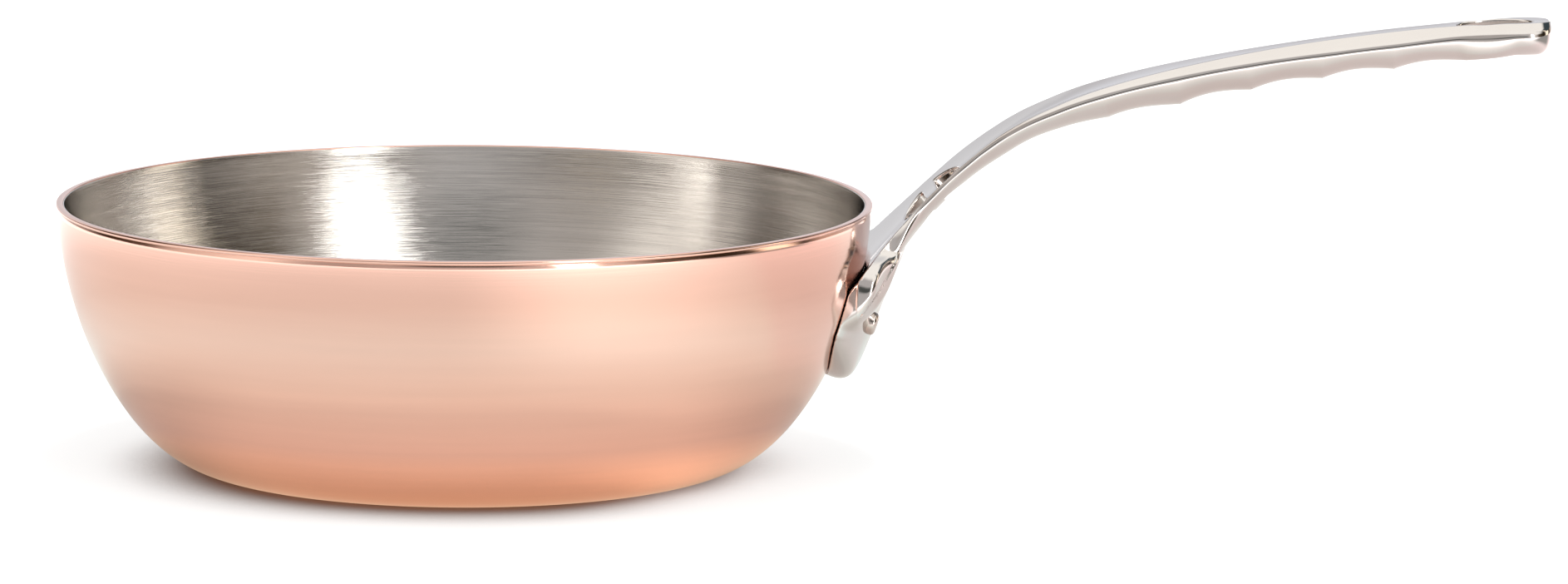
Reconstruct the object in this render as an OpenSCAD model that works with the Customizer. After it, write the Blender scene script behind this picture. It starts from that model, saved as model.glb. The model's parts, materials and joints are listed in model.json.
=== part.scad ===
// Round-sided saucepan of copper lined with steel. A cast steel handle is held by two rivets.
// The origin is the centre of the flat base. Up is +Z and the handle points along +X.
// Left and right are as the cook sees them, standing at the end of the handle and facing the pan.

/* [Pan] */
// Outside diameter of the rim
rim_d = 240; // [230:1:252]
// Height of the rim above the surface that the pan stands on
pan_h = 78; // [74:0.5:82]
// Diameter of the flat underside
base_d = 147; // [138:1:156]
// Thickness of the copper wall
copper_t = 1.7; // [1.4:0.1:2.2]
// Thickness of the steel lining
lining_t = 0.3; // [0.2:0.1:0.5]
// Height of the small bead that runs round the rim
bead_h = 1.2; // [1:0.1:1.6]
// How far the bead stands out of the wall
bead_proud = 0.45; // [0.3:0.05:0.6]

/* [Handle line] */
// Distance from the pan's axis to the tip of the handle
handle_reach = 319.3; // [310:0.1:330]
// Height of the top face at the tip
tip_h = 132.5; // [126:0.5:139]
// How far inside the rim's radius the top line of the handle starts
root_inset = 6; // [4.5:0.5:7.5]
// Height of the start of that line
root_h = 58.2; // [56:0.2:60]
// Slope of the handle where it leaves the pan, in degrees
root_slope = 49; // [46:1:52]
// Distance beyond the rim of the bend between neck and grip
bend_out = 54; // [50:1:58]
// Height of the top face at the bend
bend_h = 108.2; // [104:0.2:112]
// Slope of the handle at the bend, in degrees
bend_slope = 24.2; // [21:0.1:27]

/* [Handle width] */
// Width of the top face at its start, inside the pan's rim
root_w = 61.6; // [56:0.2:66]
// Width of the top face at the neck, which holds the windows
neck_w = 27.6; // [26:0.2:30]
// Width of the top face just beyond the neck
waist_w = 21.8; // [20:0.2:24]
// Width of the top face along the grip
grip_w = 7.5; // [6.5:0.1:9]
// Width of the top face at the hanging end
end_w = 16; // [15.6:0.2:17.6]
// Distance beyond the rim of the neck
neck_out = 22; // [20:0.5:24]
// Distance beyond the rim of the waist
waist_out = 38; // [35:0.5:41]
// Distance beyond the rim where the grip is narrowest
grip_out = 135; // [128:1:142]
// Distance beyond the rim where the hanging end starts to widen
swell_out = 162; // [157:1:167]
// Length of the rounded nose
nose_l = 10; // [9:0.5:11]

/* [Handle depth] */
// Depth of the handle where it meets the pan
root_depth = 6.9; // [6.5:0.1:7.3]
// Depth of the handle at the neck
neck_depth = 5.8; // [5.4:0.1:6.2]
// Depth of the handle at the waist
waist_depth = 6.9; // [6.5:0.1:7.5]
// Depth of the handle along the grip
grip_depth = 11.6; // [11:0.1:12.4]
// Depth of the handle at the hanging end
end_depth = 10.2; // [9.6:0.1:11]
// Distance beyond the rim where the handle reaches the depth of the grip
deep_out = 86; // [80:1:92]
// Radius of the lower corner of the nose
nose_r = 4.4; // [3.8:0.1:5]
// Depth of the side bevel where the handle meets the pan
root_bevel = 3.2; // [2.8:0.1:3.6]
// Depth of the side bevel at the neck
neck_bevel = 0.5; // [0.4:0.1:0.9]
// Depth of the side bevel along the grip
grip_bevel = 3.5; // [3.1:0.1:3.9]
// Depth of the side bevel at the hanging end
end_bevel = 3; // [2.6:0.1:3.4]
// Hollow of the top face at the neck
neck_dish = 1.6; // [1.2:0.1:2]
// Hollow of the top face along the grip
grip_dish = 0.4; // [0.2:0.1:0.6]

/* [Finger grips] */
// Distance beyond the rim of the first ridge under the handle
ridge_out = 66.5; // [63:0.5:70]
// Distance from one ridge to the next
ridge_pitch = 21.4; // [20:0.1:22.4]
// Number of hollows between the ridges
hollow_count = 5; // [3:1:5]
// Depth of each hollow
hollow_depth = 1.3; // [0.8:0.1:1.8]

/* [Openings in the handle] */
// Length along the handle of the oval that holds the two windows
window_l = 21.5; // [20:0.5:23]
// Width of that oval
window_w = 20; // [18:0.5:21]
// Distance beyond the rim of the middle of the oval
window_out = 16; // [15.5:0.5:18]
// Width of the bar between the windows
bar_w = 5; // [4:0.5:7]
// Length of the hanging hole
eye_l = 22; // [20:0.5:23]
// Width of the hanging hole
eye_w = 11.4; // [10:0.2:12]
// Distance from the tip of the handle to the middle of the hanging hole
eye_in = 16.1; // [15.5:0.1:17.5]

/* [Flange and rivets] */
// Width of the flange that lies against the pan
flange_w = 71; // [68:0.5:73]
// Thickness of the flange in the middle
flange_t = 7.8; // [7.2:0.1:8.4]
// Height of the flange's widest level above the base
flange_h = 45.2; // [44:0.2:47]
// How far the flange reaches above that level
flange_up = 16; // [15:0.2:17]
// How far the flange reaches below that level
flange_down = 18.2; // [17:0.2:19.4]
// Distance between the two rivets
rivet_gap = 40; // [36:1:44]
// Height of the rivets on the pan's wall
rivet_h = 47; // [45:0.5:49]
// Diameter of the rivet's shank
shank_d = 6; // [5:0.1:6.2]
// Diameter of the rivet's outer end
button_d = 6.8; // [6.6:0.1:7.4]
// How far the outer end stands out of the flange
button_proud = 2.2; // [1.8:0.1:2.8]
// Diameter of the rivet's head inside the pan
dome_d = 12; // [11:0.5:14]
// Height of that head
dome_h = 2; // [1.6:0.1:2.6]

/* [Hidden] */
LEFT = -1;
RIGHT = 1;

// Shares of a curve's run or chord at which its control points lie
base_pull_share = 0.5;
rim_pull_share = 0.478;
rim_lean_share = 0.027;
root_pull_share = 0.7;
bend_in_share = 0.149;
bend_out_share = 0.206;
tip_pull_share = 0.277;

// Shares that shape a section of the handle, its nose and its flange
bevel_run_share = 1.3;
nose_tip_share = 0.92;
flange_fall_share = 0.62;
sunk_share = 0.4;
flange_ring_shares = [0.99, 0.965, 0.92, 0.84, 0.65, 0.35];

// Exponents of the flange's outline and pillow form, the hollows, the belly and the bevel's growth
flange_top_power = 5;
flange_bottom_power = 1.75;
pillow_power = 10;
hollow_power = 0.9;
belly_power = 2;
end_belly_power = 2.5;
bevel_power = 0.85;

// Numbers of steps along curves
wall_steps = 28;
bead_steps = 6;
dish_steps = 6;
belly_steps = 12;
hollow_steps = 7;
flange_steps = 40;
oval_steps = 36;
halvings = 18;

// Sizes that follow from the ones above
rim_r = rim_d / 2;
base_r = base_d / 2;
wall_t = copper_t + lining_t;
wall_top_r = rim_r - bead_proud;
wall_h = pan_h - bead_h;
wall_run = wall_top_r - base_r;
root_x = rim_r - root_inset;
bend_x = rim_r + bend_out;
first_ridge_x = rim_r + ridge_out;
last_ridge_x = first_ridge_x + hollow_count * ridge_pitch;
eye_x = handle_reach - eye_in;
window_x = rim_r + window_out;
step_l = ridge_pitch / hollow_steps;
cut_l = 4 * grip_depth;

// Points of the two curves: the pan's wall as [radius, height], the handle's top line as [x, height]
wall_curve = [
    [base_r, 0],
    [base_r + base_pull_share * wall_run, 0],
    [wall_top_r - rim_lean_share * wall_run, (1 - rim_pull_share) * wall_h],
    [wall_top_r, wall_h]
];
root = [root_x, root_h];
bend = [bend_x, bend_h];
tip = [handle_reach, tip_h];
root_dir = [cos(root_slope), sin(root_slope)];
bend_dir = [cos(bend_slope), sin(bend_slope)];
neck_curve = [
    root,
    root + root_pull_share * norm(bend - root) * root_dir,
    bend - bend_in_share * norm(bend - root) * bend_dir,
    bend
];
grip_curve = [
    bend,
    bend + bend_out_share * norm(tip - bend) * bend_dir,
    tip - [tip_pull_share * norm(tip - bend), 0],
    tip
];

// A point of a cubic curve, and the curve's direction there
function on_curve(c, t) =
    pow(1 - t, 3) * c[0] + 3 * t * pow(1 - t, 2) * c[1] + 3 * t * t * (1 - t) * c[2] + pow(t, 3) * c[3];
function along_curve(c, t) =
    let (d = pow(1 - t, 2) * (c[1] - c[0]) + 2 * t * (1 - t) * (c[2] - c[1]) + t * t * (c[3] - c[2]))
    d / norm(d);

// Where on the curve its coordinate k reaches a value, found by halving the interval
function curve_at(c, k, value, low = 0, high = 1, left = halvings) =
    let (middle = (low + high) / 2)
    left == 0 ? middle
    : on_curve(c, middle)[k] < value ? curve_at(c, k, value, middle, high, left - 1)
    : curve_at(c, k, value, low, middle, left - 1);

// How far x has come on its way from a to b, and a smooth and a front-loaded rise over that way
function way(x, a, b) = min(1, max(0, (x - a) / (b - a)));
function rise(x, a, b) = let (u = way(x, a, b)) u * u * (3 - 2 * u);
function flare(x, a, b) = 1 - pow(1 - way(x, a, b), 2);

// A power that keeps the sign of its base
function signed_power(v, p) = sign(v) * pow(abs(v), p);

// The wall's curve moved inwards by a depth, from the base to the bead
function wall_points(depth) = [
    for (i = [0 : wall_steps])
        let (t = i / wall_steps, p = on_curve(wall_curve, t), d = along_curve(wall_curve, t))
        p + depth * [-d[1], d[0]]
];

// Points in the reverse order
function reversed(points) = [for (i = [len(points) - 1 : -1 : 0]) points[i]];

// The handle's widths, depths and hollows at a distance x from the pan's axis
neck_x = rim_r + neck_out;
waist_x = rim_r + waist_out;
grip_x = rim_r + grip_out;
swell_x = rim_r + swell_out;
deep_x = rim_r + deep_out;
thin_x = (neck_x + waist_x) / 2;
end_x = last_ridge_x - ridge_pitch;
nose_x = handle_reach - nose_l;
function nose_share(x) = sqrt(1 - pow(nose_tip_share * max(0, (x - nose_x) / nose_l), 2));
function top_half(x) = nose_share(x) / 2 * (root_w
    + (neck_w - root_w) * flare(x, root_x, neck_x)
    + (waist_w - neck_w) * rise(x, neck_x, waist_x)
    + (grip_w - waist_w) * rise(x, waist_x, grip_x)
    + (end_w - grip_w) * rise(x, swell_x, handle_reach));
function bevel_at(x) = sqrt(nose_share(x)) * (root_bevel
    + (neck_bevel - root_bevel) * rise(x, rim_r, thin_x)
    + (grip_bevel - neck_bevel) * pow(way(x, thin_x, grip_x), bevel_power)
    + (end_bevel - grip_bevel) * rise(x, end_x, last_ridge_x));
function belly_power_at(x) = belly_power + (end_belly_power - belly_power) * rise(x, end_x, last_ridge_x);
function dish_at(x) = neck_dish + (grip_dish - neck_dish) * rise(x, neck_x, deep_x);
function hollow_at(x) =
    let (u = (x - first_ridge_x) / ridge_pitch)
    x < first_ridge_x || x > last_ridge_x ? 0
    : hollow_depth * sin(180 * pow(u - floor(u), hollow_power));
function corner_at(x) =
    let (u = max(0, x - (handle_reach - nose_r)))
    nose_r - sqrt(nose_r * nose_r - u * u);
function depth_at(x) = root_depth
    + (neck_depth - root_depth) * rise(x, root_x, neck_x)
    + (waist_depth - neck_depth) * rise(x, neck_x, waist_x)
    + (grip_depth - waist_depth) * rise(x, waist_x, deep_x)
    + (end_depth - grip_depth) * rise(x, end_x, handle_reach)
    - hollow_at(x) - corner_at(x);

// One section of the handle as [side, height over the top edges]: hollow top, bevels, round belly
function section(x) =
    let (w = top_half(x), b = bevel_at(x), d = depth_at(x), s = w + bevel_run_share * b,
        power = 2 / belly_power_at(x))
    concat(
        [for (j = [0 : dish_steps])
            let (y = w * (1 - 2 * j / dish_steps))
            [y, -dish_at(x) * (1 - pow(y / w, 2))]],
        [for (j = [0 : belly_steps])
            let (a = 180 * j / belly_steps)
            [-s * signed_power(cos(a), power), -b - (d - b) * pow(sin(a), power)]]);

// That section in space, square to the handle's top line
function ring(x) =
    let (c = x < bend_x ? neck_curve : grip_curve,
        t = curve_at(c, 0, x),
        p = on_curve(c, t),
        d = along_curve(c, t))
    [for (q = section(x)) [p[0] - q[1] * d[1], q[0], p[1] + q[1] * d[0]]];

// A closed solid through rings of points that all hold the same number of points
module skin(rings) {
    n = len(rings[0]);
    last = len(rings) - 1;
    polyhedron(
        points = [for (r = rings) each r],
        faces = concat(
            [[for (j = [0 : n - 1]) j]],
            [for (i = [0 : last - 1], j = [0 : n - 1])
                let (a = i * n + j, b = i * n + (j + 1) % n)
                each [[a, a + n, b], [b, a + n, b + n]]],
            [[for (j = [n - 1 : -1 : 0]) last * n + j]]));
}

// The pan's wall as a point at a given height and side, its outward lean and its turn about the axis
function wall_t_at(h) = curve_at(wall_curve, 1, h);
function wall_r_at(h) = on_curve(wall_curve, wall_t_at(h))[0];
function lean_at(h) =
    let (d = along_curve(wall_curve, wall_t_at(h)))
    atan2(d[0], d[1]);
function turn_at(side, h) = asin(side / wall_r_at(h));

// A point that stands off the wall by a distance, square to the wall
function off_wall(side, h, off) =
    let (a = turn_at(side, h), l = lean_at(h), r = wall_r_at(h) + off * cos(l))
    [r * cos(a), side + off * cos(l) * sin(a), h - off * sin(l)];

// The flange's outline as [side, height], drawn in to a share of its size
function flange_point(a, share) =
    let (power = sin(a) > 0 ? flange_top_power : flange_bottom_power,
        reach = sin(a) > 0 ? flange_up : flange_down)
    [share * flange_w / 2 * signed_power(cos(a), 2 / power),
        flange_h + share * reach * signed_power(sin(a), 2 / power)];

// The flange's thickness: a pillow that is thickest in the middle and rounds off to its edge
function flange_off(side, share) = flange_t
    * (1 - flange_fall_share * pow(2 * side / flange_w, 2))
    * sqrt(1 - pow(share, pillow_power));

// One ring of the flange's outer face
function flange_ring(share) = [
    for (j = [0 : flange_steps - 1])
        let (q = flange_point(360 * j / flange_steps, share))
        off_wall(q[0], q[1], flange_off(q[0], share))
];

// The same outline sunk into the wall, which is cut away later
function flange_foot(share) = [
    for (j = [0 : flange_steps - 1])
        let (q = flange_point(360 * j / flange_steps, share))
        off_wall(q[0], q[1], -sunk_share * flange_t)
];

// A place on the wall where a rivet sits, with +Z out of the pan
module at_rivet(side) {
    y = side * rivet_gap / 2;
    translate(off_wall(y, rivet_h, 0))
        rotate([0, 90 + lean_at(rivet_h), turn_at(y, rivet_h)])
            children();
}

// A hole for a rivet's shank, through the whole wall and the flange
module shank_hole() {
    for (side = [LEFT, RIGHT])
        at_rivet(side)
            translate([0, 0, -2 * flange_t])
                cylinder(d = shank_d, h = 4 * flange_t, $fn = 48);
}

// Everything inside the pan's outer surface
module pan_volume() {
    rotate_extrude($fn = 180)
        polygon(concat([[0, 0]], wall_points(0), [[wall_top_r, pan_h], [0, pan_h]]));
}

// Everything outside the lining's inner surface, as far out as the rim
module outside_lining() {
    rotate_extrude($fn = 180)
        polygon(concat(wall_points(wall_t), [[rim_r, wall_h], [rim_r, 0], [base_r, 0]]));
}

// The outer skin of the pan, with a bead round the rim and holes for the rivets
module copper_shell() {
    bead = [
        for (i = [0 : bead_steps])
            let (a = 180 * i / bead_steps - 90)
            [wall_top_r + bead_proud * cos(a), wall_h + bead_h / 2 + bead_h / 2 * sin(a)]
    ];
    inner = wall_points(copper_t);
    color("#d79a80")
    difference() {
        rotate_extrude($fn = 180)
            polygon(concat(
                [[0, 0]], wall_points(0), bead,
                [[wall_top_r - copper_t, pan_h]], reversed(inner),
                [[0, copper_t]]));
        shank_hole();
    }
}

// The thin steel skin inside the pan
module steel_lining() {
    color("#b9b4ae")
    difference() {
        rotate_extrude($fn = 180)
            polygon(concat(
                [[0, copper_t]], wall_points(copper_t),
                [[wall_top_r - copper_t, pan_h], [wall_top_r - wall_t, pan_h]],
                reversed(wall_points(wall_t)),
                [[0, wall_t]]));
        shank_hole();
    }
}

// The long part of the handle, from inside the flange to the nose
module handle_bar() {
    plain_steps = ceil((first_ridge_x - root_x) / step_l);
    grip_steps = ceil((nose_x - first_ridge_x) / step_l);
    nose_steps = 8;
    skin(concat(
        [for (i = [0 : plain_steps - 1])
            ring(root_x + (first_ridge_x - root_x) * i / plain_steps)],
        [for (i = [0 : grip_steps - 1])
            ring(first_ridge_x + (nose_x - first_ridge_x) * i / grip_steps)],
        [for (i = [0 : nose_steps])
            ring(nose_x + nose_l * sin(90 * i / nose_steps))]));
}

// The flange that wraps round the pan's wall
module flange() {
    skin(concat(
        [flange_foot(1)],
        [for (share = flange_ring_shares) flange_ring(share)]));
}

// An oval outline
module oval(l, w) {
    polygon([
        for (j = [0 : oval_steps - 1])
            let (a = 360 * j / oval_steps)
            [l / 2 * cos(a), w / 2 * sin(a)]
    ]);
}

// A cut square to the handle's top line at a distance x from the pan's axis
module cut_at(x) {
    c = x < bend_x ? neck_curve : grip_curve;
    t = curve_at(c, 0, x);
    p = on_curve(c, t);
    d = along_curve(c, t);
    translate([p[0], 0, p[1]])
        rotate([0, -atan2(d[1], d[0]), 0])
            translate([0, 0, -cut_l / 2])
                linear_extrude(cut_l)
                    children();
}

// The cast handle with its flange, the two windows in its neck and the hanging hole
module handle() {
    color("#c9c6c4")
    difference() {
        union() {
            handle_bar();
            flange();
        }
        pan_volume();
        shank_hole();
        for (side = [LEFT, RIGHT])
            at_rivet(side)
                translate([0, 0, seat_off()])
                    cylinder(d = button_d, h = flange_t, $fn = 48);
        cut_at(window_x)
            difference() {
                oval(window_l, window_w);
                square([bar_w, 2 * window_w], center = true);
            }
        cut_at(eye_x)
            oval(eye_l, eye_w);
    }
}

// How far off the wall the rivet's outer end starts, a little under the flange's surface
function seat_off() =
    let (share = rivet_gap / flange_w)
    (1 - sunk_share / 2) * flange_off(rivet_gap / 2, share);

// One rivet: a low dome inside the pan, the shank, and a round button outside
module rivet(side) {
    dome_r = (pow(dome_d / 2, 2) + dome_h * dome_h) / (2 * dome_h);
    face_off = flange_off(rivet_gap / 2, rivet_gap / flange_w);
    color("#d8d4d1") {
        at_rivet(side)
            translate([0, 0, -wall_t - dome_h / 2])
                cylinder(d = shank_d, h = dome_h / 2 + wall_t + seat_off(), $fn = 48);
        at_rivet(side)
            translate([0, 0, seat_off()])
                cylinder(d = button_d, h = face_off + button_proud - seat_off(), $fn = 48);
        difference() {
            at_rivet(side)
                intersection() {
                    translate([0, 0, dome_r - dome_h - wall_t])
                        sphere(r = dome_r, $fn = 96);
                    translate([0, 0, -wall_t - dome_h])
                        cylinder(d = dome_d, h = dome_h + lining_t, $fn = 96);
                }
            outside_lining();
        }
    }
}

// The rivet on the cook's left
module left_rivet() {
    rivet(LEFT);
}

// The rivet on the cook's right
module right_rivet() {
    rivet(RIGHT);
}

copper_shell();
steel_lining();
handle();
left_rivet();
right_rivet();
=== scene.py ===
"""Visual model of a round-sided copper saucepan with a steel lining and a cast steel handle.

All shapes are worked out in millimetres and turned into metres when a mesh is made.
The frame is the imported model's own: origin in the centre of the base, +Z up, handle along +X.
"""

import json
import logging
import math
from dataclasses import dataclass
from enum import Enum
from itertools import combinations

import bmesh
import bpy
import numpy as np
from mathutils import Matrix, Vector

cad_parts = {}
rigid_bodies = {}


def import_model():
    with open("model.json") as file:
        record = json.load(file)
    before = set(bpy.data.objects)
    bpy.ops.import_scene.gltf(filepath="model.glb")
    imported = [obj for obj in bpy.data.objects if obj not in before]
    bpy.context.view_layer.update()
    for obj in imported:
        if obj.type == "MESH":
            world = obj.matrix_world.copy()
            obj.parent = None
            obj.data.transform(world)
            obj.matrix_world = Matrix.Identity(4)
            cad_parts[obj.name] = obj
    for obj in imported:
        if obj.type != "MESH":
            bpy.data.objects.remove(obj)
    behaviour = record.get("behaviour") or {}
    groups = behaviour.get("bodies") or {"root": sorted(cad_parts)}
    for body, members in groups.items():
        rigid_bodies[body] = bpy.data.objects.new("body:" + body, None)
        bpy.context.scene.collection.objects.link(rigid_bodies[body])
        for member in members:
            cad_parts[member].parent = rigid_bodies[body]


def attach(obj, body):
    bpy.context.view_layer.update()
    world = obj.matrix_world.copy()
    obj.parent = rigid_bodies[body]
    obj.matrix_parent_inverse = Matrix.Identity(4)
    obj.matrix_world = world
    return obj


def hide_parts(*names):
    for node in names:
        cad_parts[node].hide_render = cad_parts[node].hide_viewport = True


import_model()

LOG = logging.getLogger("saucepan")
MM = 0.001
Array = np.ndarray
Pair = tuple[float, float]
Triple = tuple[float, float, float]
Colour = Triple
Edges = tuple[float, float, float, float]
Stops = tuple[tuple[float, Colour], ...]
Object, Material, Socket = bpy.types.Object, bpy.types.Material, bpy.types.NodeSocket
Value = Socket | float | str | tuple[float, ...]
Inputs = dict[str | int, Value]


class Side(Enum):
    """The cook's left and right, as the sign of Y."""

    LEFT = -1
    RIGHT = 1


# Curves and blends


@dataclass(frozen=True)
class Cubic:
    """A plane cubic curve given by four control points."""

    controls: tuple[Pair, ...]

    def at(self, t: Array) -> Array:
        """Returns the points of the curve at the parameters t."""
        c, t = np.asarray(self.controls), np.asarray(t, float)[..., None]
        return (1 - t) ** 3 * c[0] + 3 * t * (1 - t) ** 2 * c[1] + 3 * t * t * (1 - t) * c[2] + t**3 * c[3]

    def slope(self, t: Array) -> Array:
        """Returns the derivative of the curve at the parameters t."""
        c, t = np.asarray(self.controls), np.asarray(t, float)[..., None]
        return 3 * ((1 - t) ** 2 * (c[1] - c[0]) + 2 * t * (1 - t) * (c[2] - c[1]) + t * t * (c[3] - c[2]))

    def along(self, t: Array) -> Array:
        """Returns the curve's unit direction at the parameters t."""
        d = self.slope(t)
        return d / np.linalg.norm(d, axis=-1, keepdims=True)

    def find(self, axis: int, value: Array) -> Array:
        """Finds where a rising coordinate of the curve reaches a value.

        Args:
            axis: Which coordinate, 0 or 1.
            value: The values to reach.

        Returns:
            The parameters, one for each value.
        """
        value = np.asarray(value, float)
        low, high = np.zeros_like(value), np.ones_like(value)
        for _ in range(26):
            middle = (low + high) / 2
            short = self.at(middle)[..., axis] < value
            low, high = np.where(short, middle, low), np.where(short, high, middle)
        return (low + high) / 2


def way(x: Array, a: float, b: float) -> Array:
    """Returns how far x has come from a to b, from 0 to 1."""
    return np.clip((x - a) / (b - a), 0.0, 1.0)


def rise(x: Array, a: float, b: float) -> Array:
    """Returns a smooth rise from 0 at a to 1 at b."""
    u = way(x, a, b)
    return u * u * (3 - 2 * u)


def stepped(x: Array, first: float, *steps: Triple) -> Array:
    """Returns a value that goes smoothly from one level to the next.

    Args:
        x: Places.
        first: The first level.
        steps: The next level for each change, and where the change starts and ends.

    Returns:
        The value at each place.
    """
    value = first
    for level, start, end in steps:
        value, first = value + (level - first) * rise(x, start, end), level
    return value


def soft_max(a: Array, b: Array, width: float | Array) -> Array:
    """Returns the larger of two fields, with the corner between them rounded."""
    h = np.maximum(width - np.abs(a - b), 0.0) / width
    return np.maximum(a, b) + h * h * width / 4


def soft_min(a: Array, b: Array, width: float | Array) -> Array:
    """Returns the smaller of two fields, with a fillet where they meet."""
    return -soft_max(-a, -b, width)


def oval_field(u: Array, v: Array, half_u: float, half_v: float) -> Array:
    """Returns about the distance from an ellipse, negative inside it."""
    k = np.sqrt((u / half_u) ** 2 + (v / half_v) ** 2)
    grad = np.sqrt((u / half_u**2) ** 2 + (v / half_v**2) ** 2) / np.maximum(k, 1e-6)
    return (k - 1) / np.maximum(grad, 0.5 / max(half_u, half_v))


# The pan's form


@dataclass(frozen=True)
class PanForm:
    """Sizes of the pan, in millimetres, and its wall as a curve of radius and height."""

    rim_d: float = 240.0
    height: float = 78.0
    base_d: float = 147.0
    copper_t: float = 1.7
    lining_t: float = 0.3
    bead_h: float = 1.2
    bead_proud: float = 0.45
    base_pull: float = 0.5
    rim_pull: float = 0.478
    rim_lean: float = 0.027

    @property
    def rim_r(self) -> float:
        """Outside radius of the rim."""
        return self.rim_d / 2

    @property
    def base_r(self) -> float:
        """Radius of the flat underside."""
        return self.base_d / 2

    @property
    def wall_t(self) -> float:
        """Thickness of the copper and the lining together."""
        return self.copper_t + self.lining_t

    @property
    def wall_top_r(self) -> float:
        """Radius of the wall under the bead."""
        return self.rim_r - self.bead_proud

    @property
    def wall_h(self) -> float:
        """Height of the wall under the bead."""
        return self.height - self.bead_h

    @property
    def wall(self) -> Cubic:
        """The outer wall, from the edge of the base to the bead."""
        run = self.wall_top_r - self.base_r
        return Cubic((
            (self.base_r, 0.0),
            (self.base_r + self.base_pull * run, 0.0),
            (self.wall_top_r - self.rim_lean * run, (1 - self.rim_pull) * self.wall_h),
            (self.wall_top_r, self.wall_h),
        ))

    def layer(self, depth: float, count: int = 72) -> Array:
        """Returns the wall's points moved inwards by a depth, from the base up."""
        t = np.linspace(0.0, 1.0, count)
        d = self.wall.along(t)
        return self.wall.at(t) + depth * np.stack([-d[:, 1], d[:, 0]], -1)

    def on_wall(self, side: float, h: float) -> tuple[Vector, float, float]:
        """Finds a point on the wall.

        Args:
            side: Distance from the handle's middle plane.
            h: Height over the base.

        Returns:
            The point, the wall's lean there and its turn about the axis.
        """
        t = self.wall.find(1, h)
        r, d = float(self.wall.at(t)[0]), self.wall.along(t)
        turn = math.asin(side / r)
        return Vector((r * math.cos(turn), r * math.sin(turn), h)), math.atan2(d[0], d[1]), turn

    def wall_place(self, r: Array, z: Array) -> tuple[Array, Array]:
        """Finds the nearest point of the wall's curve for points given by radius and height.

        Args:
            r: Radii.
            z: Heights.

        Returns:
            The distance outwards from the wall and the height of the nearest point.
        """
        wall = self.wall
        t = way(z, -4.0, self.wall_h) ** 0.7
        for _ in range(6):
            p, d = wall.at(t), wall.slope(t)
            err = (r - p[..., 0]) * d[..., 0] + (z - p[..., 1]) * d[..., 1]
            t = np.clip(t + err / (d[..., 0] ** 2 + d[..., 1] ** 2), 0.02, 1.0)
        p, d = wall.at(t), wall.along(t)
        off = (r - p[..., 0]) * d[..., 1] - (z - p[..., 1]) * d[..., 0]
        return off, p[..., 1]


# The handle's form


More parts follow.
